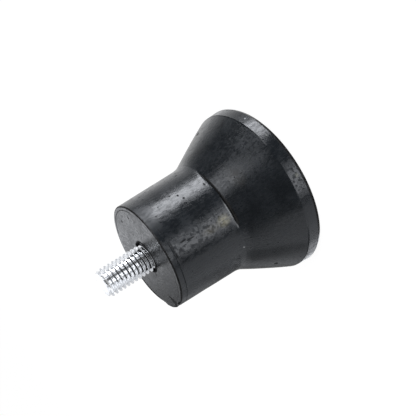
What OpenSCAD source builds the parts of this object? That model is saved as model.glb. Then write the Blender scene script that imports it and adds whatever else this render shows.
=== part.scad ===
// Flared rubber foot with a threaded steel stud, for the underside of a small machine.
// It stands on its wide base, with its axis along Z and the stud pointing up.
// The black rubber is moulded and bonded round a steel plate, and the stud is riveted through that plate.

/* [Rubber body] */
// Height of the rubber, from the floor to the face that meets the machine
body_h = 41; // [36:0.5:60]
// Diameter of the base, at the lower edge of the rim band
base_d = 50; // [46:0.5:70]
// Diameter of the waist, where the neck meets the flare
waist_d = 32.9; // [31:0.1:38]
// Height of the waist above the floor
waist_h = 19.8; // [14:0.2:24]
// Diameter of the face that meets the machine
face_d = 31.6; // [30.4:0.1:36]
// How far the side of the flare bows out from a straight cone
flare_bulge = 0.17; // [0.05:0.01:0.6]
// Bevel on the edge round the machine face
face_edge = 0.3; // [0.1:0.05:0.6]

/* [Rim band] */
// Height of the top of the rim band above the floor
rim_h = 4.2; // [3:0.1:6]
// How much the band narrows on each side, from its lower edge up to its top
rim_taper = 0.25; // [0:0.05:0.6]
// Height of the bevel at the foot of the band
base_edge_h = 0.8; // [0.4:0.1:1.6]
// How far that bevel runs in under the base
base_edge_in = 0.4; // [0.2:0.05:1.2]

/* [Mould lines] */
// Width of the parting groove round the waist
waist_groove_w = 0.7; // [0.4:0.05:1.2]
// Depth of the parting groove round the waist
waist_groove_depth = 0.3; // [0.1:0.05:0.5]
// Width of the groove between the flare and the rim band
rim_groove_w = 0.5; // [0.3:0.05:1]
// Depth of the groove between the flare and the rim band
rim_groove_depth = 0.2; // [0.1:0.05:0.4]
// Width of the fine lines that the mould's end plate leaves on the face and the neck
end_line_w = 0.3; // [0.2:0.05:0.5]
// Depth of those lines
end_line_depth = 0.1; // [0.05:0.01:0.2]
// Distance of the line on the face in from its edge
face_line_in = 1.2; // [0.8:0.1:3]
// Distance of the line on the neck down from the face
neck_line_down = 1.8; // [1:0.1:4]

/* [Dished underside] */
// Width of the flat ring that stands on the floor
tread_w = 3.6; // [2:0.2:6]
// Depth of the dish inside that ring
dish_depth = 2.8; // [1:0.2:3.6]
// Bevel on the edge between the ring and the dish
tread_edge = 0.5; // [0.2:0.1:1]

/* [Steel insert] */
// Rubber over the top of the bonding plate
skin = 0.8; // [0.4:0.1:2]
// Rubber round the edge of the bonding plate
plate_inset = 1.6; // [1:0.1:3]
// Thickness of the bonding plate
plate_t = 2; // [1.5:0.1:4]
// Gap in the skin, round the neck of the stud
skin_gap = 0.75; // [0.4:0.05:1.5]

/* [Stud] */
// Major diameter of the stud's thread
stud_d = 8; // [6.5:0.5:10]
// How far the stud stands out of the rubber
stud_h = 14.2; // [10:0.2:30]
// How much thinner the plain neck is than the thread, across its diameter
neck_relief = 0.8; // [0.2:0.1:1.2]
// How far the plain neck ends below the machine face
neck_drop = 0.3; // [0.1:0.05:0.35]
// Diameter of the spigot that goes through the plate
spigot_d = 5; // [4:0.1:5.2]
// Height of the bevel at the stud's end
tip_edge_h = 0.9; // [0.4:0.1:1.5]
// How far that bevel cuts into the stud's radius
tip_edge_in = 0.6; // [0.3:0.1:1.2]
// Spread of the riveted head past the spigot, on each side
rivet_spread = 1.6; // [0.8:0.1:2.5]
// Height of the riveted head under the plate
rivet_h = 1.6; // [1:0.1:3]

/* [Hidden] */
$fn = 96;

rubber_black = "#1d1e20";
zinc_silver = "#d5d7da";
plate_grey = "#8b8d8f";

// Steps along the bowed side of the flare
flare_steps = 10;
// Sides of the wide, shallow ball that cuts the dish
dish_fn = 240;
// Extra length for a cut that has to pass through a face
through = 1;

base_r = base_d / 2;
rim_top_r = base_r - rim_taper;
waist_r = waist_d / 2;
face_r = face_d / 2;
// Radius of the neck where the fine line runs round it
neck_line_r = face_r + (waist_r - face_r) * neck_line_down / (body_h - waist_h);
// How far the sides of the flare and the neck lean in from upright, in degrees
flare_lean = atan((rim_top_r - waist_r) / (waist_h - rim_h));
neck_lean = atan((waist_r - face_r) / (body_h - waist_h));

// The dish is part of a ball that passes through the inner edge of the tread
tread_in_r = base_r - base_edge_in - tread_w;
dish_r = (tread_in_r * tread_in_r + dish_depth * dish_depth) / (2 * dish_depth);

// The plate lies just under the machine face
plate_top = body_h - skin;
plate_bottom = plate_top - plate_t;
plate_r = face_r - plate_inset;

stud_r = stud_d / 2;
neck_r = stud_r - neck_relief / 2;
neck_top = body_h - neck_drop;
// The thread starts on a 45 degree cone
thread_start = neck_top + stud_r - neck_r;
stud_top = body_h + stud_h;
spigot_r = spigot_d / 2;
rivet_r = spigot_r + rivet_spread;
// A hammered rivet head is narrower at its end
rivet_end_r = spigot_r + rivet_spread / 2;
skin_hole_r = stud_r + skin_gap / 2;

// Points of an arc from p0 to p1 that bows out to the right of that line
function bowed(p0, p1, bulge, steps) =
    let (
        chord = norm(p1 - p0),
        along = (p1 - p0) / chord,
        out = [along[1], -along[0]],
        r = (chord * chord / 4 + bulge * bulge) / (2 * bulge),
        centre = (p0 + p1) / 2 - out * (r - bulge),
        half = asin(chord / (2 * r))
    )
    [
        for (i = [0 : steps])
            let (a = half * (2 * i / steps - 1))
            centre + r * (out * cos(a) + along * sin(a))
    ];

// Half section of the outside of the rubber, from the floor upwards
module rubber_section() {
    polygon(concat(
        [
            [0, 0],
            [base_r - base_edge_in, 0],
            [base_r, base_edge_h]
        ],
        bowed([rim_top_r, rim_h], [waist_r, waist_h], flare_bulge, flare_steps),
        [
            [face_r, body_h - face_edge],
            [face_r - face_edge, body_h],
            [0, body_h]
        ]
    ));
}

// Ring that cuts a V groove of this width and depth into the outside of the rubber. Its middle leans up
// by lean, and in a corner the walls on both sides of it rise by valley
module side_groove(r, h, w, depth, lean = 0, valley = 0) {
    out = [cos(lean), sin(lean)];
    up = [-sin(lean), cos(lean)];
    deep = depth + w / 2 * tan(valley);
    bottom = [r, h] - depth * out;
    mouth = bottom + 2 * deep * out;
    rotate_extrude()
        polygon([bottom, mouth - w * up, mouth + w * up]);
}

// Ring that cuts the fine line into the machine face
module face_line() {
    r = face_r - face_line_in;
    rotate_extrude()
        polygon([
            [r, body_h - end_line_depth],
            [r + end_line_w, body_h + end_line_depth],
            [r - end_line_w, body_h + end_line_depth]
        ]);
}

// The hollow under the base, with a bevelled edge
module dish() {
    translate([0, 0, dish_depth - dish_r])
        sphere(r = dish_r, $fn = dish_fn);
    translate([0, 0, -through])
        cylinder(r1 = tread_in_r + tread_edge + through, r2 = tread_in_r, h = tread_edge + through);
}

module plate_blank() {
    translate([0, 0, plate_bottom])
        cylinder(r = plate_r, h = plate_t);
}

// Half section of the stud: rivet head, spigot, plain neck and threaded shank
module stud_section() {
    polygon([
        [0, plate_bottom - rivet_h],
        [rivet_end_r, plate_bottom - rivet_h],
        [rivet_r, plate_bottom - rivet_h / 2],
        [rivet_r, plate_bottom],
        [spigot_r, plate_bottom],
        [spigot_r, plate_top],
        [neck_r, plate_top],
        [neck_r, neck_top],
        [stud_r, thread_start],
        [stud_r, stud_top - tip_edge_h],
        [stud_r - tip_edge_in, stud_top],
        [0, stud_top]
    ]);
}

// One steel pin, its thread shown as a plain shank of the major diameter
module threaded_stud() {
    color(zinc_silver)
        rotate_extrude() stud_section();
}

module bonding_plate() {
    color(plate_grey)
        difference() {
            plate_blank();
            translate([0, 0, plate_bottom - through])
                cylinder(r = spigot_r, h = plate_t + 2 * through);
        }
}

// The rubber fills the mould round the plate and the rivet head
module rubber_foot() {
    color(rubber_black)
        difference() {
            rotate_extrude() rubber_section();
            dish();
            side_groove(rim_top_r, rim_h, rim_groove_w, rim_groove_depth);
            side_groove(
                waist_r, waist_h, waist_groove_w, waist_groove_depth,
                lean = (flare_lean + neck_lean) / 2,
                valley = (flare_lean - neck_lean) / 2
            );
            side_groove(neck_line_r, body_h - neck_line_down, end_line_w, end_line_depth);
            face_line();
            plate_blank();
            rotate_extrude() stud_section();
            translate([0, 0, plate_top])
                cylinder(r = skin_hole_r, h = skin + through);
        }
}

rubber_foot();
bonding_plate();
threaded_stud();
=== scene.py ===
"""The looks of a flared rubber foot with a threaded steel stud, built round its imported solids."""

import math

import bpy
from mathutils import Matrix, Vector, noise


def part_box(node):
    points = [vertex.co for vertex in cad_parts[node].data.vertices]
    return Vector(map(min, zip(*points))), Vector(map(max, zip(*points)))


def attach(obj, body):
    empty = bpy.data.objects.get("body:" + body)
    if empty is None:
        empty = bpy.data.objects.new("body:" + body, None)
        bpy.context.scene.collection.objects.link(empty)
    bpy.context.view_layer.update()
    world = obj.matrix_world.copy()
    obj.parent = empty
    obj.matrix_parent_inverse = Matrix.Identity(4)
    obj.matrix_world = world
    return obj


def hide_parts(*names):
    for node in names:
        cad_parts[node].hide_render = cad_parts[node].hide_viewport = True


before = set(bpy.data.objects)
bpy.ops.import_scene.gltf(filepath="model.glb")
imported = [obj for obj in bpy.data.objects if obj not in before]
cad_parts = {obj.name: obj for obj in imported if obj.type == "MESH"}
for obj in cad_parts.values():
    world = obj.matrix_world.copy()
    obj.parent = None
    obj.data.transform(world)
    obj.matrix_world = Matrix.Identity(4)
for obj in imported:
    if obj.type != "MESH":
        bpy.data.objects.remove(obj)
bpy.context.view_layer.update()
MM = 0.001

# Bonding plate
# A disc of mild steel, blanked and then grit-blasted so that the rubber bonds to it. It lies sealed
# just under the machine face, with the stud riveted through it, and keeps its solid from the frame.


def linear(hex_colour):
    """An sRGB hex colour as linear red, green, blue and alpha."""
    parts = [int(hex_colour[i : i + 2], 16) / 255 for i in (1, 3, 5)]
    return [c / 12.92 if c <= 0.04045 else ((c + 0.055) / 1.055) ** 2.4 for c in parts] + [1.0]


def add_node(tree, kind, inputs=None, **settings):
    """A node with its settings. inputs maps a socket's name or number to a value or to the socket that feeds it."""
    node = tree.nodes.new(kind)
    for name, value in settings.items():
        setattr(node, name, value)
    for name, value in (inputs or {}).items():
        if isinstance(value, bpy.types.NodeSocket):
            tree.links.new(value, node.inputs[name])
        else:
            node.inputs[name].default_value = value
    return node


def new_material(name, piece):
    """An empty material with its shader, as the piece's only one."""
    material = bpy.data.materials.new(name)
    material.use_nodes = True
    piece.data.materials.clear()
    piece.data.materials.append(material)
    return material.node_tree, material.node_tree.nodes["Principled BSDF"]


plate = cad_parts["bonding_plate"]

# Grit-blasted mild steel: a dull mid grey metal, evenly pitted by 0.3 mm grit
tree, shader = new_material("grit_blasted_mild_steel", plate)
shader.inputs["Metallic"].default_value = 1.0
shader.inputs["Roughness"].default_value = 0.62
place = add_node(tree, "ShaderNodeTexCoord").outputs["Object"]
grit = add_node(tree, "ShaderNodeTexNoise", {"Vector": place, "Scale": 1 / (0.3 * MM), "Detail": 3.0})
tone = add_node(
    tree,
    "ShaderNodeMix",
    {"Factor": grit.outputs["Fac"], "A": linear("#5e5f62"), "B": linear("#98999b")},
    data_type="RGBA",
)
tree.links.new(tone.outputs["Result"], shader.inputs["Base Color"])
pitted = add_node(tree, "ShaderNodeBump", {"Height": grit.outputs["Fac"], "Distance": 0.04 * MM})
tree.links.new(pitted.outputs["Normal"], shader.inputs["Normal"])

# Threaded stud
# One steel pin with an M8 by 1.25 right-hand thread, plated with bright zinc. Its thinner spigot goes
# through the plate and is hammered over into a rivet head, which is out of sight in the rubber.


def stepped(points, step):
    """The points, with others between them on straight lines so that none lie further than step apart."""
    out = [points[0]]
    for (r0, z0), (r1, z1) in zip(points, points[1:]):
        count = max(1, math.ceil(math.hypot(r1 - r0, z1 - z0) / step))
        out += [(r0 + (r1 - r0) * i / count, z0 + (z1 - z0) * i / count) for i in range(1, count + 1)]
    return out


def turned(name, section, sides):
    """A closed piece spun round Z from its half section, radius and height in mm, from axis to axis."""
    bpy.ops.object.select_all(action="DESELECT")
    r0, z0 = section[0]
    bpy.ops.mesh.primitive_circle_add(vertices=3, radius=MM, location=(r0 * MM, 0, z0 * MM))
    piece = bpy.context.object
    piece.name = name
    bpy.ops.object.transform_apply(location=True, rotation=True, scale=True)
    bpy.ops.object.mode_set(mode="EDIT")
    bpy.ops.mesh.merge(type="CENTER")
    for (r0, z0), (r1, z1) in zip(section, section[1:]):
        move = {"value": ((r1 - r0) * MM, 0, (z1 - z0) * MM)}
        bpy.ops.mesh.extrude_vertices_move(TRANSFORM_OT_translate=move)
    bpy.ops.mesh.select_all(action="SELECT")
    bpy.ops.mesh.spin(steps=sides, angle=2 * math.pi, center=(0, 0, 0), axis=(0, 0, 1))
    bpy.ops.mesh.select_all(action="SELECT")
    bpy.ops.mesh.remove_doubles(threshold=0.001 * MM)
    bpy.ops.mesh.normals_make_consistent(inside=False)
    bpy.ops.object.mode_set(mode="OBJECT")
    return piece


def polar(co):
    """A point's radius and height in mm, and its azimuth in degrees."""
    return math.hypot(co.x, co.y) / MM, co.z / MM, math.degrees(math.atan2(co.y, co.x))


body_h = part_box("rubber_foot")[1].z / MM
stud_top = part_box("threaded_stud")[1].z / MM
plate_bottom, plate_top = [corner.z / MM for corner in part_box("bonding_plate")]
plate_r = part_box("bonding_plate")[1].x / MM
stud_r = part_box("threaded_stud")[1].x / MM
rivet_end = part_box("threaded_stud")[0].z / MM
rivet_r = 4.1
spigot_r = 2.5
neck_r = 3.6
neck_top = body_h - 0.3
tip_bevel = 0.6
tip_edge_h = 0.9
pitch = 1.25
thread_root_r = 3.23
crest_half = 0.07
root_half = 0.09

stud = turned(
    "zinc_plated_stud",
    [
        (0, rivet_end),
        (rivet_r - 0.8, rivet_end),
        (rivet_r, rivet_end + 0.8),
        (rivet_r, plate_bottom),
        (spigot_r, plate_bottom),
        (spigot_r, plate_top),
        (neck_r, plate_top),
        (neck_r, neck_top),
    ]
    + stepped([(stud_r, neck_top + 0.02), (stud_r, stud_top - 0.25)], 0.055)
    + [
        (stud_r - tip_bevel + 0.03, stud_top - 0.12),
        (stud_r - tip_bevel - 0.12, stud_top - 0.02),
        (stud_r - tip_bevel - 0.4, stud_top),
        (1.2, stud_top - 0.04),
        (0, stud_top - 0.05),
    ],
    160,
)


def thread_r(z, azimuth):
    """The threaded shank's radius at this height and azimuth, in mm and degrees."""
    turn = ((z - neck_top) / pitch - azimuth / 360) % 1
    from_crest = min(turn, 1 - turn)
    slope = (from_crest - crest_half) / (0.5 - root_half - crest_half)
    slope = min(1, max(0, slope))
    depth = (stud_r - thread_root_r) * (slope + 0.1 * math.sin(2 * math.pi * slope) / math.pi)
    run_out_r = neck_r + (z - neck_top) / 2
    bevel_r = stud_r - max(0, z - stud_top + tip_edge_h) / tip_edge_h * tip_bevel
    return min(run_out_r, bevel_r, stud_r - depth)


# The thread is rolled into the blank, so the blank's own points move in and leave a helix of crests. The
# helix runs across the rings of points, so its normals are worked out from its form and not from its faces
thread_normals = []
for vertex in stud.data.vertices:
    r, z, azimuth = polar(vertex.co)
    if z <= neck_top or z > stud_top - 0.2 or r < neck_r:
        thread_normals.append((0, 0, 0))
        continue
    new_r = thread_r(z, azimuth)
    vertex.co.x *= new_r / r
    vertex.co.y *= new_r / r
    growing_up = (thread_r(z + 0.05, azimuth) - thread_r(z - 0.05, azimuth)) / 0.1
    growing_round = (thread_r(z, azimuth + 1) - thread_r(z, azimuth - 1)) / (math.radians(2) * new_r)
    across = math.radians(azimuth)
    normal = Vector((1, -growing_round, -growing_up)).normalized()
    thread_normals.append(Matrix.Rotation(across, 3, "Z") @ normal)

bpy.ops.object.shade_smooth_by_angle(angle=math.radians(38))
stud.data.normals_split_custom_set_from_vertices(thread_normals)

# Bright zinc plate on rolled steel: a clear, slightly cool silver, with faint lines drawn round the thread
tree, shader = new_material("bright_zinc_plated_steel", stud)
shader.inputs["Metallic"].default_value = 1.0
place = add_node(tree, "ShaderNodeTexCoord").outputs["Object"]
clouding = add_node(tree, "ShaderNodeTexNoise", {"Vector": place, "Scale": 1 / (1.6 * MM), "Detail": 3.0})
plating = add_node(
    tree,
    "ShaderNodeMix",
    {"Factor": clouding.outputs["Fac"], "A": linear("#d0d2d4"), "B": linear("#f0f0f0")},
    data_type="RGBA",
)
tree.links.new(plating.outputs["Result"], shader.inputs["Base Color"])
squeezed = add_node(tree, "ShaderNodeMapping", {"Vector": place, "Scale": (1.0, 1.0, 20.0)})
rolled = add_node(
    tree, "ShaderNodeTexNoise", {"Vector": squeezed.outputs["Vector"], "Scale": 1 / (3 * MM), "Detail": 1.0}
)
dulling = add_node(
    tree,
    "ShaderNodeMapRange",
    {"Value": rolled.outputs["Fac"], "From Min": 0.3, "From Max": 0.7, "To Min": 0.05, "To Max": 0.1},
)
sheared = add_node(tree, "ShaderNodeSeparateXYZ", {"Vector": place}).outputs["Z"]
sheared = add_node(tree, "ShaderNodeMath", {0: sheared, 1: (stud_top - 0.1) * MM}, operation="GREATER_THAN")
sheared = add_node(tree, "ShaderNodeMath", {0: sheared.outputs[0], 1: 0.3}, operation="MULTIPLY")
dull = add_node(tree, "ShaderNodeMath", {0: dulling.outputs["Result"], 1: sheared.outputs[0]}, operation="ADD")
tree.links.new(dull.outputs[0], shader.inputs["Roughness"])
lines = add_node(tree, "ShaderNodeBump", {"Height": rolled.outputs["Fac"], "Distance": 0.001 * MM})
tree.links.new(lines.outputs["Normal"], shader.inputs["Normal"])

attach(stud, "root")
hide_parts("threaded_stud")

# Rubber body
# One moulding of black natural rubber, bonded round the plate. The mould parts at the waist and closes
# with an end plate on the machine face, where a little flash is left. The underside is dished.

base_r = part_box("rubber_foot")[1].x / MM
waist_r = 16.45
waist_h = 19.8
face_r = 15.8
face_edge = 0.3
rim_top_r = base_r - 0.25
rim_h = 4.2
base_edge_h = 0.8
tread_out_r = base_r - 0.4
tread_in_r = tread_out_r - 3.6
dish_depth = 2.8
flare_bulge = 0.17
skin_hole_r = stud_r + 0.375
neck_line_z = body_h - 1.8
face_line_r = face_r - 1.2
groove_w = 0.14


def arc(start, end, bulge, count):
    """Points from start to end on an arc that stands off the straight line by bulge, to its right."""
    chord = math.hypot(end[0] - start[0], end[1] - start[1])
    along = ((end[0] - start[0]) / chord, (end[1] - start[1]) / chord)
    out = []
    for i in range(count + 1):
        t = 2 * i / count - 1
        off = bulge * (1 - t * t)
        out.append(
            (
                (start[0] + end[0]) / 2 + along[0] * t * chord / 2 + along[1] * off,
                (start[1] + end[1]) / 2 + along[1] * t * chord / 2 - along[0] * off,
            )
        )
    return out


def neck_at(height):
    """The neck's radius at this height."""
    return waist_r + (face_r - waist_r) * (height - waist_h) / (body_h - waist_h)


dish_ball_r = (tread_in_r**2 + dish_depth**2) / (2 * dish_depth)
dish_edge_h = 0.5
dish_edge_r = math.sqrt(dish_ball_r**2 - (dish_ball_r - dish_depth + dish_edge_h) ** 2)
dish = [
    (r, dish_depth - dish_ball_r + math.sqrt(dish_ball_r**2 - r * r))
    for r in [dish_edge_r * i / 18 for i in range(19)]
]
fine = 0.42
section = (
    dish
    + [(tread_in_r, dish_edge_h), (tread_in_r + 0.5, 0), (tread_out_r - 1.2, 0), (tread_out_r, 0)]
    + [(base_r, base_edge_h)]
    + stepped([(base_r, base_edge_h), (rim_top_r, rim_h - 0.2)], fine)[1:]
    + [(rim_top_r - 0.2, rim_h)]
    + arc((rim_top_r - 0.05, rim_h + 0.18), (waist_r + 0.19, waist_h - 0.36), flare_bulge, 42)
    + [(waist_r - 0.25, waist_h - 0.05), (neck_at(waist_h) - 0.06, waist_h + 0.22)]
    + stepped([(neck_at(waist_h + 0.5), waist_h + 0.5), (neck_at(neck_line_z), neck_line_z - groove_w)], fine)
    + [(neck_at(neck_line_z) - 0.09, neck_line_z)]
    + stepped([(neck_at(neck_line_z), neck_line_z + groove_w), (face_r, body_h - face_edge)], fine)
    + [(face_r - face_edge * 0.35, body_h - face_edge * 0.35)]
    + stepped([(face_r - face_edge, body_h), (face_line_r + groove_w, body_h)], fine)
    + [(face_line_r, body_h - 0.09)]
    + stepped([(face_line_r - groove_w, body_h), (skin_hole_r, body_h)], fine)
    + [(skin_hole_r, plate_top + 0.4), (skin_hole_r, plate_top), (plate_r, plate_top), (plate_r, plate_bottom)]
    + [(rivet_r, plate_bottom), (rivet_r, rivet_end + 0.8), (rivet_r - 0.8, rivet_end), (0, rivet_end)]
)
foot = turned("moulded_rubber_foot", section, 288)



def eased(value, start, full):
    """0 before start and 1 past full, on a straight line between them."""
    return min(1, max(0, (value - start) / (full - start)))


# The mould's halves part in front and meet tightly elsewhere, where the waist is a soft corner
crease_from = -18
crease_to = 38
corner_reach = 2.1
rim_groove_fill = 0.17
for vertex in foot.data.vertices:
    r, z, azimuth = polar(vertex.co)
    crease = eased(azimuth, crease_from - 5, crease_from + 3) * eased(azimuth, crease_to + 12, crease_to - 4)
    if abs(z - waist_h) < corner_reach and r > waist_r - 1:
        in_crease = waist_h - 0.1 < z < waist_h + 0.3
        wall_r = neck_at(waist_h) if in_crease else r
        filled = wall_r + 0.24 * (1 - abs(z - waist_h) / corner_reach) ** 2
        new_r = r * crease + filled * (1 - crease)
    elif abs(z - neck_line_z) < 0.02 and r < neck_at(z) - 0.05:
        new_r = r + 0.085 * eased(azimuth, 2, 22) * eased(azimuth, 150, 120)
    elif abs(z - rim_h) < 0.02 and r > rim_top_r - 0.3:
        new_r = r + rim_groove_fill * eased(azimuth, -50, -32) * eased(azimuth, 28, 12)
    elif abs(r - face_line_r) < 0.02 and z > body_h - 0.2:
        vertex.co.z += 0.075 * MM * (1 - eased(azimuth, 50, 62) * eased(azimuth, 140, 128))
        continue
    else:
        continue
    vertex.co.x *= new_r / r
    vertex.co.y *= new_r / r

# Rubber shrinks unevenly as it cures, so the sides wander by a few hundredths of a millimetre
outer_skin = foot.vertex_groups.new(name="outer_skin")
for vertex in foot.data.vertices:
    r, z, azimuth = polar(vertex.co)
    if r > 15.2 and z > 1.2:
        outer_skin.add([vertex.index], 0.5 + 0.5 * eased(z, waist_h - 2, waist_h + 2), "REPLACE")
    elif r > 6 and z > body_h - 0.1:
        outer_skin.add([vertex.index], 0.4, "REPLACE")
shrinkage = bpy.data.textures.new("shrinkage", "CLOUDS")
shrinkage.noise_scale = 9 * MM
wander = foot.modifiers.new("wander", "DISPLACE")
wander.texture = shrinkage
wander.texture_coords = "LOCAL"
wander.strength = 0.16 * MM
wander.mid_level = 0.5
wander.vertex_group = "outer_skin"
bpy.ops.object.modifier_apply(modifier="wander")

# The flash round the machine face was trimmed by hand: a lip is left on it, squared off at one end, and
# the knife cut a little past the edge on both sides of that lip. Each pair is an azimuth and how far out
trimmed = [(-136, 0), (-123, -0.3), (-117, -0.22), (-114, 0.14), (-105, 0.24), (-92, 0.14)]
trimmed += [(-90.5, -0.16), (-80, -0.14), (-72, 0)]
for vertex in foot.data.vertices:
    r, z, azimuth = polar(vertex.co)
    if z < body_h - 0.8 or r < face_r - 1:
        continue
    for (from_azimuth, from_out), (to_azimuth, to_out) in zip(trimmed, trimmed[1:]):
        if from_azimuth <= azimuth < to_azimuth:
            out = from_out + (to_out - from_out) * (azimuth - from_azimuth) / (to_azimuth - from_azimuth)
            out *= eased(r, face_r - 1, face_r - 0.5) * eased(z, body_h - 0.8, body_h - 0.35)
            vertex.co.x *= (r + out) / r
            vertex.co.y *= (r + out) / r

# The hole in the skin is a little off the stud's centre and chipped at its edge, two gas pits lie open on the
# flare, and a knife has nicked the face beside the flash
chip_azimuth = 119
hole_x = 0.33
hole_y = 0.12
for vertex in foot.data.vertices:
    r, z, azimuth = polar(vertex.co)
    if plate_top + 0.1 < z and r < 7:
        at_edge = max(0, 1 - (r - skin_hole_r) / 2.2)
        near = max(0, 1 - abs(azimuth - chip_azimuth) / 17) * at_edge
        ragged = 0.75 + 0.4 * noise.noise(vertex.co / (0.7 * MM))
        vertex.co.x *= 1 + 1.1 * near * ragged / r
        vertex.co.y *= 1 + 1.1 * near * ragged / r
        vertex.co.x += hole_x * at_edge * MM
        vertex.co.y += hole_y * at_edge * MM
for azimuth, r, z in ((-77.5, 21.1, 11.1), (85, 22.1, 9.3)):
    across = math.radians(azimuth)
    pit = Vector((r * math.cos(across), r * math.sin(across), z)) * MM
    for vertex in foot.data.vertices:
        sunk = 0.4 * MM * max(0, 1 - (vertex.co - pit).length / (0.75 * MM))
        vertex.co -= Vector((math.cos(across), math.sin(across), 0)) * sunk
nick_from = Vector((12.7 * math.cos(math.radians(-93)), 12.7 * math.sin(math.radians(-93))))
nick_to = Vector((15.0 * math.cos(math.radians(-87)), 15.0 * math.sin(math.radians(-87))))
for vertex in foot.data.vertices:
    if vertex.co.z > (body_h - 0.1) * MM:
        point = vertex.co.xy / MM
        along = (point - nick_from).dot(nick_to - nick_from) / (nick_to - nick_from).length_squared
        along = min(1, max(0, along))
        away = (point - nick_from.lerp(nick_to, along)).length
        vertex.co.z -= max(0, 1 - away / (0.35 + 0.75 * along)) * 0.4 * MM
bpy.ops.object.shade_smooth_by_angle(angle=math.radians(24))
for edge in foot.data.edges:
    ends = [foot.data.vertices[i].co.z / MM for i in edge.vertices]
    if max(abs(z - base_edge_h) for z in ends) < 0.01:
        edge.use_edge_sharp = True

# Moulded natural rubber: a soft-edged sheen over black, clouded by bloom and dotted with small pits, which are painted
# darker as shade
tree, shader = new_material("moulded_black_natural_rubber", foot)
shader.inputs["IOR"].default_value = 1.52
place = add_node(tree, "ShaderNodeTexCoord").outputs["Object"]
apart = add_node(tree, "ShaderNodeSeparateXYZ", {"Vector": place})
height = apart.outputs["Z"]
flat = add_node(tree, "ShaderNodeVectorMath", {0: place, 1: (1.0, 1.0, 0.0)}, operation="MULTIPLY")
from_axis = add_node(tree, "ShaderNodeVectorMath", {0: flat.outputs["Vector"]}, operation="LENGTH").outputs["Value"]
around = add_node(tree, "ShaderNodeMath", {0: apart.outputs["Y"], 1: apart.outputs["X"]}, operation="ARCTAN2")
around = add_node(tree, "ShaderNodeMath", {0: around.outputs["Value"]}, operation="DEGREES").outputs["Value"]


def blended(factor, colour_a, colour_b):
    """One colour laid over another by a factor. Either may be a socket."""
    mix = add_node(tree, "ShaderNodeMix", {"Factor": factor, "A": colour_a, "B": colour_b}, data_type="RGBA")
    return mix.outputs["Result"]


def calculated(operation, a, b):
    """The result of a sum of two numbers or sockets, held between 0 and 1."""
    return add_node(tree, "ShaderNodeMath", {0: a, 1: b}, operation=operation, use_clamp=True).outputs["Value"]


def ranged(value, low, high, to_low=0.0, to_high=1.0):
    """A value spread from one range to another, smoothly and with ends that hold."""
    spread = {"Value": value, "From Min": low, "From Max": high, "To Min": to_low, "To Max": to_high}
    return add_node(tree, "ShaderNodeMapRange", spread, interpolation_type="SMOOTHSTEP").outputs["Result"]


bloom = add_node(
    tree, "ShaderNodeTexNoise", {"Vector": place, "Scale": 1 / (6 * MM), "Detail": 4.0, "Roughness": 0.6}
)
drawn = add_node(tree, "ShaderNodeMapping", {"Vector": place, "Scale": (1.0, 1.0, 0.4)})
grain = add_node(
    tree, "ShaderNodeTexNoise", {"Vector": drawn.outputs["Vector"], "Scale": 1 / (0.6 * MM), "Detail": 3.0}
)
pit_cells = add_node(tree, "ShaderNodeTexVoronoi", {"Vector": place, "Scale": 1 / (1.1 * MM)})
pit_chance = add_node(tree, "ShaderNodeSeparateColor", {"Color": pit_cells.outputs["Color"]}).outputs["Red"]
pit_core = ranged(pit_cells.outputs["Distance"], 0.12, 0.26, 1.0, 0.0)
pit_places = ranged(bloom.outputs["Fac"], 0.45, 0.6)
pits = calculated("MULTIPLY", ranged(pit_chance, 0.6, 0.8), pit_places)
gassed = calculated("MULTIPLY", ranged(around, 20, 26), ranged(around, 46, 40, 1.0, 0.0))
gassed = calculated("MULTIPLY", gassed, calculated("GREATER_THAN", height, 21 * MM))
pits = calculated("MAXIMUM", pits, calculated("MULTIPLY", gassed, ranged(pit_chance, 0.5, 0.6)))
pits = calculated("MULTIPLY", pit_core, pits)
pits = calculated("MULTIPLY", pits, calculated("LESS_THAN", height, (body_h - 0.2) * MM))

colour = blended(ranged(bloom.outputs["Fac"], 0.35, 0.7), linear("#14181c"), linear("#1f2327"))
# The pits are painted darker, as the shade in them
colour = blended(calculated("MULTIPLY", pits, 0.8), colour, linear("#08080a"))

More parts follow.
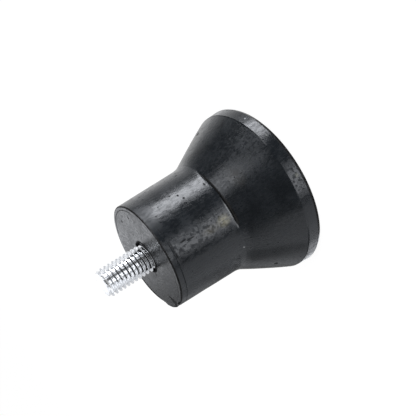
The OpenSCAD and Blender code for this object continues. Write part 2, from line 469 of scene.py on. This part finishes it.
# Marks, each an ellipsoid: azimuth, radius and height of its middle in mm, its half sizes outwards,
# sideways and upwards, how far it is turned on the surface, its colour, and how strongly it shows
dark = "#060607"
marks = [
    # The knife's nick in the face, painted dark as the shade in it
    (-88.5, 14.4, body_h, (1.3, 0.75, 0.6), 26, "#0c0c0d", 0.9),
    (-98, 5.2, body_h, (0.8, 0.2, 0.5), 0, dark, 0.9),
    (98, 12.0, body_h, (0.5, 0.5, 0.5), 0, dark, 0.8),
    (67, 12.45, body_h, (0.45, 0.45, 0.5), 0, dark, 0.7),
    (-43.5, neck_at(20.1), 20.1, (0.5, 0.28, 0.28), 0, "#d8dad8", 1.0),
    # The two gas pits on the flare, painted dark as the shade in them
    (-77.5, 21.1, 11.1, (0.9, 0.6, 0.5), 0, dark, 1.0),
    (85, 22.1, 9.3, (0.9, 0.7, 0.5), 0, dark, 0.9),
    (45.5, base_r, 2.2, (0.5, 0.28, 0.28), 0, "#c8cbcb", 0.9),
    # Pits on the neck, painted dark as the shade in them
    (35.5, neck_at(28.9), 28.9, (0.5, 0.4, 0.3), 0, dark, 1.0),
    (29.5, neck_at(28.2), 28.2, (0.5, 0.35, 0.35), 0, dark, 1.0),
    (40.5, neck_at(30.7), 30.7, (0.5, 0.4, 0.3), 0, dark, 0.8),
    (30.5, neck_at(21.2), 21.2, (0.5, 0.6, 0.3), 0, dark, 0.9),
    # A yellowish bloom stain low on the neck, painted much lighter as the sheen of the right streak over it
    (-9, neck_at(22.8), 22.8, (1.5, 1.8, 2.2), 0, "#8b8773", 0.9),
    # A grey patch of painted sheen further up the same streak
    (-10, neck_at(27), 27.0, (1.5, 1.3, 3.4), 0, "#555248", 0.7),
    (-5, neck_at(35.4), 35.4, (0.6, 0.22, 1.2), 0, dark, 0.9),
    (-6.6, neck_at(33.2), 33.2, (0.6, 0.22, 1.3), 0, dark, 0.9),
    # A painted highlight along the lip at the waist
    (-3, neck_at(20.3), 20.3, (0.7, 3.6, 0.2), 0, "#9a9c9a", 0.8),
    (-10, neck_at(38.7), 38.7, (1.0, 4.2, 0.35), 0, dark, 0.8),
    (15.5, 19.6, 14.4, (1.5, 3.4, 3.4), 0, "#272521", 0.6),
    # Pale patches on the rim here and at 25.5 degrees: painted sheen over its scuffs
    (-6, base_r, 2.1, (0.6, 0.7, 0.7), 0, "#66675f", 0.8),
    (-12.5, base_r, 3.3, (0.6, 0.4, 0.4), 0, "#505356", 0.8),
    (-2, base_r, 2.4, (0.6, 0.9, 0.2), 0, dark, 0.8),
    # Painted sheen over the rim's scuffs
    (25.5, base_r, 2.1, (0.6, 0.7, 0.25), 0, "#70736f", 0.8),
    # Painted sheen on the soft corner of the waist
    (-62, neck_at(20.6), 20.6, (1.0, 2.4, 0.8), 0, "#4a4c4d", 0.6),
]
roughened = None
for azimuth, r, z, half_sizes, turned_by, mark_colour, strength in marks:
    across = math.radians(azimuth)
    spot = add_node(
        tree,
        "ShaderNodeMapping",
        {
            "Vector": place,
            "Location": (r * math.cos(across) * MM, r * math.sin(across) * MM, z * MM),
            "Rotation": (0.0, 0.0, math.radians(azimuth + turned_by)),
            "Scale": [half * MM for half in half_sizes],
        },
        vector_type="TEXTURE",
    )
    reach = add_node(tree, "ShaderNodeVectorMath", {0: spot.outputs["Vector"]}, operation="LENGTH")
    wobbly = add_node(
        tree, "ShaderNodeMath", {0: reach.outputs["Value"], 1: grain.outputs["Fac"]}, operation="ADD"
    )
    shown = ranged(wobbly.outputs[0], 0.9, 1.7, strength, 0.0)
    if half_sizes[1] > 1:
        shown = calculated("MULTIPLY", shown, ranged(grain.outputs["Fac"], 0.4, 0.58, 0.35, 1.0))
    colour = blended(shown, colour, linear(mark_colour))
    if mark_colour == dark:
        roughened = calculated("MAXIMUM", roughened or 0.0, shown)

# The edges at the base and round the face were cut from the flash, and are matt. The cut on the face is
# widest on one side. These edges, the crease at the waist and the skin round the stud's hole are painted
# near black as shade
foot_bevel = calculated("LESS_THAN", height, ranged(around, 8, 45, 1.0 * MM, 0.85 * MM))
foot_bevel = calculated("MULTIPLY", foot_bevel, calculated("GREATER_THAN", from_axis, (tread_out_r - 0.1) * MM))
far_cut = ranged(around, -128, -120, 0.8 * MM, 0.0)
end_cut = calculated("MULTIPLY", ranged(around, -93, -90, 0.0, 0.5 * MM), ranged(around, -76, -72, 1.0, 0.0))
cut_width = calculated("ADD", calculated("ADD", far_cut, end_cut), face_edge * MM)
face_cut = calculated("GREATER_THAN", from_axis, calculated("SUBTRACT", face_r * MM, cut_width))
face_cut = calculated("MULTIPLY", face_cut, calculated("GREATER_THAN", height, (body_h - face_edge - 0.1) * MM))
on_lip = calculated("MULTIPLY", ranged(around, -122, -118), ranged(around, -96, -93, 1.0, 0.0))
face_cut = calculated("MULTIPLY", face_cut, calculated("SUBTRACT", 1.0, calculated("MULTIPLY", on_lip, 0.7)))
# The crease at the waist is painted near black, as the shade in it
crease = calculated("MULTIPLY", ranged(around, crease_from - 5, crease_from + 3), ranged(around, crease_to - 4, crease_to + 12, 1.0, 0.0))
crease = calculated("MULTIPLY", crease, calculated("GREATER_THAN", height, (waist_h - 0.7) * MM))
crease = calculated("MULTIPLY", crease, calculated("LESS_THAN", height, (waist_h + 0.25) * MM))
crease_out_r = ranged(around, 0, 14, (waist_r + 0.34) * MM, (waist_r + 0.15) * MM)
crease = calculated("MULTIPLY", crease, calculated("LESS_THAN", from_axis, crease_out_r))
from_hole = add_node(
    tree, "ShaderNodeVectorMath", {0: flat.outputs["Vector"], 1: (hole_x * MM, hole_y * MM, 0.0)}, operation="DISTANCE"
)
# The skin round the stud's hole and its chipped edge are painted near black, as the shade in the gap
painted_hole_shade = calculated("LESS_THAN", from_axis, 8 * MM)
painted_hole_shade = calculated("MULTIPLY", painted_hole_shade, calculated("LESS_THAN", height, (body_h - 0.03) * MM))
torn_edge = calculated("LESS_THAN", from_hole.outputs["Value"], (skin_hole_r + 0.5) * MM)
painted_hole_shade = calculated("MAXIMUM", painted_hole_shade, torn_edge)
painted_hole_shade = calculated("MULTIPLY", painted_hole_shade, calculated("GREATER_THAN", height, plate_top * MM))
painted_edge_shade = calculated("MAXIMUM", foot_bevel, calculated("MAXIMUM", face_cut, crease))
painted_edge_shade = calculated("MAXIMUM", painted_edge_shade, painted_hole_shade)
# The cut edges, the crease and the hole's skin are painted near black: painted shade
colour = blended(painted_edge_shade, colour, linear("#050506"))

tree.links.new(colour, shader.inputs["Base Color"])
neck_end = ranged(height, 36 * MM, 40 * MM, 0.0, 0.22)
neck_end = calculated("MULTIPLY", neck_end, calculated("GREATER_THAN", from_axis, (face_r - 0.2) * MM))
neck_end = calculated("MULTIPLY", neck_end, ranged(around, 4, 32))
neck_end = calculated("MULTIPLY", neck_end, ranged(around, 40, 52, 1.0, 0.0))
scuffing = add_node(tree, "ShaderNodeTexNoise", {"Vector": place, "Scale": 1 / (0.9 * MM), "Detail": 2.0})
scuffed = calculated("MULTIPLY", ranged(around, -22, -15), ranged(around, 1, 7, 1.0, 0.0))
off_flare = calculated("MAXIMUM", ranged(height, 20 * MM, 22 * MM), calculated("LESS_THAN", height, rim_h * MM))
scuffed = calculated("MULTIPLY", scuffed, off_flare)
scuffed = calculated("MULTIPLY", scuffed, ranged(scuffing.outputs["Fac"], 0.48, 0.62, 0.0, 0.35))
on_face = calculated("GREATER_THAN", height, (body_h - 0.1) * MM)
dull = ranged(grain.outputs["Fac"], 0.32, 0.68, 0.17, 0.31)
dull = calculated("ADD", dull, ranged(bloom.outputs["Fac"], 0.35, 0.65, 0.0, 0.06))
dull = calculated("ADD", dull, neck_end)
dull = calculated("ADD", dull, calculated("MULTIPLY", scuffed, calculated("SUBTRACT", 1.0, on_face)))
dull = calculated("ADD", dull, calculated("MULTIPLY", on_face, 0.05))
matt_edges = calculated("MULTIPLY", foot_bevel, calculated("GREATER_THAN", height, base_edge_h * MM))
matt_edges = calculated("MAXIMUM", matt_edges, calculated("MULTIPLY", face_cut, on_face))
matt_edges = calculated("MAXIMUM", matt_edges, painted_hole_shade)
for worn in (pits, roughened, matt_edges):
    dull = calculated("ADD", dull, calculated("MULTIPLY", worn, 0.6))
tree.links.new(dull, shader.inputs["Roughness"])
relief = calculated("SUBTRACT", grain.outputs["Fac"], calculated("MULTIPLY", pits, 0.7))
relief = calculated("SUBTRACT", relief, calculated("MULTIPLY", roughened, 0.5))
relief = calculated("MULTIPLY", relief, ranged(height, (body_h - 0.3) * MM, (body_h - 0.1) * MM, 1.0, 0.45))
relief = calculated("MULTIPLY", relief, ranged(height, (waist_h - 2) * MM, (waist_h + 2) * MM, 0.6, 1.0))
uneven = add_node(tree, "ShaderNodeBump", {"Height": relief, "Distance": 0.03 * MM})
tree.links.new(uneven.outputs["Normal"], shader.inputs["Normal"])

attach(foot, "root")
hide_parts("rubber_foot")

# Floor
# A wide white table under the foot. It fades to plain white in the picture but keeps a soft shadow.

bpy.ops.object.select_all(action="DESELECT")
bpy.ops.mesh.primitive_circle_add(vertices=96, radius=20, fill_type="NGON", location=(0, 0, -0.03 * MM))
table = bpy.context.object
table.name = "white_table"
tree, shader = new_material("matt_white_laminate", table)
tree.nodes.remove(shader)
paint = add_node(tree, "ShaderNodeBsdfDiffuse", {"Color": (0.25, 0.25, 0.25, 1.0)})
glow = add_node(tree, "ShaderNodeEmission", {"Color": (1.0, 1.0, 1.0, 1.0)})
seen = add_node(tree, "ShaderNodeLightPath")
tree.links.new(
    add_node(tree, "ShaderNodeMath", {0: seen.outputs["Is Camera Ray"], 1: 0.93}, operation="MULTIPLY").outputs[0],
    glow.inputs["Strength"],
)
both = add_node(tree, "ShaderNodeAddShader", {0: paint.outputs["BSDF"], 1: glow.outputs["Emission"]})
tree.links.new(both.outputs["Shader"], tree.nodes["Material Output"].inputs["Surface"])
table.visible_glossy = False
table.visible_shadow = False

# Lamps
# Plain soft boxes round the foot, two of them low, which draw the two bright streaks along the neck.


def pointing(azimuth, elevation):
    """The unit vector at this azimuth from +X and this elevation, in degrees."""
    a, e = math.radians(azimuth), math.radians(elevation)
    return Vector((math.cos(a) * math.cos(e), math.sin(a) * math.cos(e), math.sin(e)))



def soft_box(name, azimuth, elevation, wide, high, level, lit_height=20 * MM, lit_only=None):
    """A square-edged soft lamp that faces the foot's axis, its width and height in degrees as seen from there."""
    distance = 0.6
    lamp = bpy.data.lights.new(name, "AREA")
    lamp.shape = "RECTANGLE"
    lamp.size = 2 * distance * math.tan(math.radians(wide / 2))
    lamp.size_y = 2 * distance * math.tan(math.radians(high / 2))
    lamp.energy = level * math.pi * lamp.size * lamp.size_y
    lamp.color = (0.965, 0.99, 1.045)
    holder = bpy.data.objects.new(name, lamp)
    bpy.context.scene.collection.objects.link(holder)
    away = pointing(azimuth, elevation)
    place = Vector((0, 0, lit_height)) + away * distance
    holder.matrix_world = Matrix.Translation(place) @ away.to_track_quat("Z", "Y").to_matrix().to_4x4()
    holder.visible_camera = False
    holder.light_linking.receiver_collection = lit_only


soft_box("left_streak_box", 68, -12, 27, 29, 9.5)
soft_box("right_streak_box", -15, -37, 33, 56, 3.1)
soft_box("haze_box", 46, 36, 30, 22, 3.3)
soft_box("right_fill_box", -76, -13, 51, 73, 0.7)
soft_box("right_side_box", -125, -9, 47, 20, 0.4)
soft_box("right_rear_box", -139, 14, 76, 26, 0.15)
soft_box("face_box", 175.5, 22, 12, 36, 1.3)
soft_box("left_low_box", 115, -25, 63, 43, 0.3)
soft_box("right_low_box", -143, -34, 60, 16, 1.8)

# The walls of a white tent, which only the bright stud mirrors, with two dark gaps between them
in_tent = bpy.data.collections.new("seen_in_tent")
in_tent.objects.link(stud)
for azimuth, wide, level in ((54, 60, 0.7), (122, 52, 0.5), (180, 52, 0.2), (-122, 52, 0.5), (-66, 48, 0.7), (-14, 48, 0.7)):
    soft_box("low_wall_%d" % azimuth, azimuth, -25, wide, 54, level, 48 * MM, in_tent)
for azimuth, level in ((0, 0.2), (60, 0.75), (120, 0.7), (180, 0.5), (-120, 0.7), (-60, 0.75)):
    soft_box("high_wall_%d" % azimuth, azimuth, 30, 60, 54, level, 48 * MM, in_tent)

world = bpy.data.worlds.new("white_studio")
bpy.context.scene.world = world
world.use_nodes = True
tree = world.node_tree
toward = add_node(tree, "ShaderNodeTexCoord").outputs["Generated"]


def glowing(azimuth, elevation, start, full, level):
    """A smooth glow round one direction. start and full are cosines of the angle from its middle."""
    middle = tuple(pointing(azimuth, elevation))
    near = add_node(tree, "ShaderNodeVectorMath", {0: toward, 1: middle}, operation="DOT_PRODUCT")
    return ranged(near.outputs["Value"], start, full, 0.0, level)


behind = glowing(152, -24, 0.53, 1.33, 1.5)
overhead = glowing(0, 90, 0.62, 0.82, 0.35)
glow = add_node(tree, "ShaderNodeMath", {0: behind, 1: overhead}, operation="ADD")
studio = add_node(tree, "ShaderNodeMath", {0: glow.outputs[0], 1: 0.1}, operation="ADD")
seen = add_node(tree, "ShaderNodeLightPath")
level = add_node(
    tree, "ShaderNodeMix", {"Factor": seen.outputs["Is Camera Ray"], "A": studio.outputs[0], "B": 1.0}
)
tree.links.new(level.outputs["Result"], tree.nodes["Background"].inputs["Strength"])
tree.nodes["Background"].inputs["Color"].default_value = (1.0, 1.0, 1.0, 1.0)

# Camera
# It looks down on the stud end from in front, turned so that the foot lies along the picture's diagonal.

camera_data = bpy.data.cameras.new("camera")
camera = bpy.data.objects.new("camera", camera_data)
bpy.context.scene.collection.objects.link(camera)
bpy.context.scene.camera = camera
camera_data.sensor_width = 36
camera_data.lens = 64.77
camera_data.clip_start = 0.01
camera_place = Vector((195.3, 0, 100.6)) * MM
camera_aim = Vector((0, 2.64, 17.89)) * MM
camera_roll = math.radians(-121.68)
camera.matrix_world = (
    Matrix.Translation(camera_place)
    @ (camera_aim - camera_place).to_track_quat("-Z", "Y").to_matrix().to_4x4()
    @ Matrix.Rotation(camera_roll, 4, "Z")
)
bpy.context.scene.view_settings.view_transform = "Standard"
